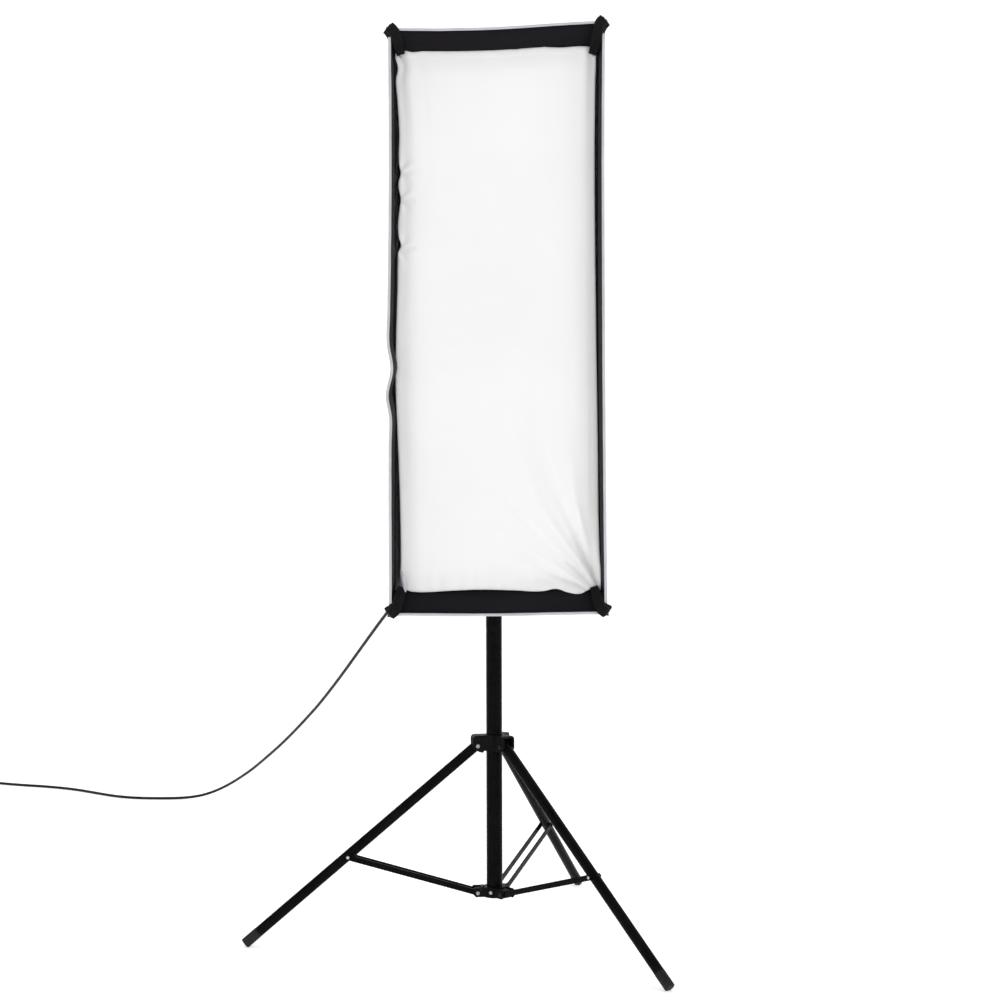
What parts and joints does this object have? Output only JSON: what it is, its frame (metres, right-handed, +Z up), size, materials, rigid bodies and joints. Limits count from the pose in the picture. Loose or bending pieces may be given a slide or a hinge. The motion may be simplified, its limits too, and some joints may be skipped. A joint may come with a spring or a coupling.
{
  "type": "studio softbox",
  "caption": "Tall strip softbox on a studio flash head, on a folding three-legged stand with sliding riser, tilting bracket and trailing mains lead.",
  "frame": {"origin": "on the floor under the axis of the stand's column", "axes": "+Z up along the column, the softbox faces -Y, +X to the right of a viewer who faces the softbox"},
  "size_m": [2.105, 2.5702, 1.8854],
  "materials": {
    "stand_paint": "satin black powder coat",
    "zinc_fasteners": "zinc plated",
    "black_rubber": "matte",
    "lead_jacket": "soft satin",
    "black_plastic": "fine texture",
    "head_paint": "fine texture",
    "bright_aluminium": "turned",
    "clear_glass": "clear",
    "board_green": "solder mask",
    "spring_steel": "drawn",
    "black_nylon": "coated nylon, plain weave",
    "grey_tape": "ribbed binding tape",
    "white_diffusion": "translucent diffusion cloth"
  },
  "bodies": {
    "column": {"column_tube": "stand_paint", "base_collar": "stand_paint", "base_fasteners": "zinc_fasteners", "riser_clamp": "black_plastic", "mains_cord": "lead_jacket", "cord_coil": "lead_jacket", "plug": "lead_jacket"},
    "collar": {"leg_collar": "stand_paint", "leg_pivot_rivets": "zinc_fasteners"},
    "collar_knob": {"collar_knob": "black_plastic"},
    "clamp_knob": {"clamp_knob": "black_plastic"},
    "riser": {"riser_tube": "stand_paint", "riser_glide": "black_plastic", "spigot": "zinc_fasteners"},
    "bracket": {"bracket": "stand_paint", "tilt_bolt": "zinc_fasteners", "cord_bracket": "lead_jacket"},
    "socket_screw": {"socket_screw": "black_plastic"},
    "tilt_lever": {"tilt_lever": "black_plastic"},
    "head": {"tilt_block": "stand_paint", "head_housing": "head_paint", "front_casting": "head_paint", "bayonet_insert": "bright_aluminium", "flash_tube": "clear_glass", "modelling_lamp": "clear_glass", "reflector_plate": "bright_aluminium", "glass_dome": "clear_glass", "capacitors": "bright_aluminium", "circuit_board": "board_green", "rear_panel": "black_plastic", "mains_inlet": "black_plastic", "power_connector": "lead_jacket", "cord_head": "lead_jacket"},
    "umbrella_screw": {"umbrella_screw": "black_plastic"},
    "power_dial": {"power_dial": "black_plastic"},
    "lamp_dial": {"lamp_dial": "black_plastic"},
    "power_rocker": {"power_rocker": "black_plastic"},
    "test_button": {"test_button": "black_plastic"},
    "release_catch": {"release_catch": "black_plastic"},
    "fan": {"fan_rotor": "black_plastic"},
    "softbox": {"speed_ring": "bright_aluminium", "rod_sockets": "bright_aluminium", "rods": "spring_steel", "wall_top": "black_nylon", "wall_bottom": "black_nylon", "wall_left": "black_nylon", "wall_right": "black_nylon", "edge_binding": "grey_tape", "corner_pockets": "black_nylon", "front_diffuser": "white_diffusion", "inner_baffle": "white_diffusion"},
    "leg_left": {"leg_left": "stand_paint", "foot_left": "black_rubber"},
    "brace_left": {"brace_left": "stand_paint"},
    "leg_right": {"leg_right": "stand_paint", "foot_right": "black_rubber"},
    "brace_right": {"brace_right": "stand_paint"},
    "leg_rear": {"leg_rear": "stand_paint", "foot_rear": "black_rubber"},
    "brace_rear": {"brace_rear": "stand_paint"}
  },
  "joints": [
    {"name": "leg_fold_slide", "type": "slide", "parent": "column", "child": "collar", "axis": [0, 0, 1], "range_m": [0, 0.345]},
    {"name": "leg_left_hinge", "type": "hinge", "parent": "collar", "child": "leg_left", "pos_m": [-0.03857, -0.00577, 0.423], "axis": [0.1478, -0.989, 0], "range_deg": [0, 47.13]},
    {"name": "brace_left_hinge", "type": "hinge", "parent": "column", "child": "brace_left", "pos_m": [-0.03956, -0.00591, 0.101], "axis": [-0.1478, 0.989, 0], "range_deg": [0, 68.72]},
    {"name": "leg_right_hinge", "type": "hinge", "parent": "collar", "child": "leg_right", "pos_m": [0.02428, -0.03052, 0.423], "axis": [0.7826, 0.6225, 0], "range_deg": [0, 47.13]},
    {"name": "brace_right_hinge", "type": "hinge", "parent": "column", "child": "brace_right", "pos_m": [0.0249, -0.0313, 0.101], "axis": [-0.7826, -0.6225, 0], "range_deg": [0, 68.72]},
    {"name": "leg_rear_hinge", "type": "hinge", "parent": "collar", "child": "leg_rear", "pos_m": [0.01524, 0.0359, 0.423], "axis": [-0.9205, 0.3907, 0], "range_deg": [0, 47.13]},
    {"name": "brace_rear_hinge", "type": "hinge", "parent": "column", "child": "brace_rear", "pos_m": [0.01563, 0.03682, 0.101], "axis": [0.9205, -0.3907, 0], "range_deg": [0, 68.72]},
    {"name": "collar_knob_turn", "type": "hinge", "parent": "collar", "child": "collar_knob", "pos_m": [-0.02455, 0.02633, 0.418], "axis": [-0.682, 0.7314, 0], "range_deg": [0, 180]},
    {"name": "clamp_knob_turn", "type": "hinge", "parent": "column", "child": "clamp_knob", "pos_m": [0.03064, 0.02571, 1.014], "axis": [0.766, 0.6428, 0], "range_deg": [0, 180]},
    {"name": "riser_slide", "type": "slide", "parent": "column", "child": "riser", "axis": [0, 0, 1], "range_m": [-0.05, 0.35], "deforming": ["mains_cord"]},
    {"name": "head_pan", "type": "hinge", "parent": "riser", "child": "bracket", "pos_m": [0, 0, 1.177], "axis": [0, 0, 1], "range_deg": [-180, 180], "deforming": ["cord_bracket"]},
    {"name": "socket_screw_turn", "type": "hinge", "parent": "bracket", "child": "socket_screw", "pos_m": [0, -0.0265, 1.176], "axis": [0, -1, 0], "range_deg": [0, 180]},
    {"name": "head_tilt", "type": "hinge", "parent": "bracket", "child": "head", "pos_m": [0, 0, 1.226], "axis": [-1, 0, 0], "range_deg": [-40, 60], "deforming": ["cord_head"]},
    {"name": "tilt_lever_turn", "type": "hinge", "parent": "bracket", "child": "tilt_lever", "pos_m": [0.0273, 0, 1.226], "axis": [1, 0, 0], "range_deg": [-40, 40]},
    {"name": "umbrella_screw_turn", "type": "hinge", "parent": "head", "child": "umbrella_screw", "pos_m": [-0.024, 0, 1.2435], "axis": [-1, 0, 0], "range_deg": [0, 180]},
    {"name": "speed_ring_turn", "type": "hinge", "parent": "head", "child": "softbox", "pos_m": [0, -0.15, 1.32], "axis": [0, -1, 0], "continuous": true},
    {"name": "power_dial_turn", "type": "hinge", "parent": "head", "child": "power_dial", "pos_m": [0.024, 0.1464, 1.35], "axis": [0, 1, 0], "range_deg": [-135, 135]},
    {"name": "lamp_dial_turn", "type": "hinge", "parent": "head", "child": "lamp_dial", "pos_m": [0.024, 0.1464, 1.306], "axis": [0, 1, 0], "range_deg": [-135, 135]},
    {"name": "power_rocker_rock", "type": "hinge", "parent": "head", "child": "power_rocker", "pos_m": [-0.028, 0.143, 1.312], "axis": [1, 0, 0], "range_deg": [-7, 7]},
    {"name": "test_button_press", "type": "slide", "parent": "head", "child": "test_button", "axis": [0, -1, 0], "range_m": [0, 0.0025], "stiffness_N_per_m": 400, "springref_m": -0.0005},
    {"name": "release_catch_slide", "type": "slide", "parent": "head", "child": "release_catch", "axis": [0, 1, 0], "range_m": [0, 0.006], "stiffness_N_per_m": 500, "springref_m": -0.001},
    {"name": "fan_spin", "type": "hinge", "parent": "head", "child": "fan", "pos_m": [0, 0.089, 1.32], "axis": [0, 1, 0], "continuous": true}
  ],
  "couplings": [
    {"joint": "leg_left_hinge", "follows": "leg_fold_slide", "rad_per_m": 2.3744},
    {"joint": "brace_left_hinge", "follows": "leg_fold_slide", "rad_per_m": 3.4663},
    {"joint": "leg_right_hinge", "follows": "leg_fold_slide", "rad_per_m": 2.3744},
    {"joint": "brace_right_hinge", "follows": "leg_fold_slide", "rad_per_m": 3.4663},
    {"joint": "leg_rear_hinge", "follows": "leg_fold_slide", "rad_per_m": 2.3744},
    {"joint": "brace_rear_hinge", "follows": "leg_fold_slide", "rad_per_m": 3.4663}
  ]
}
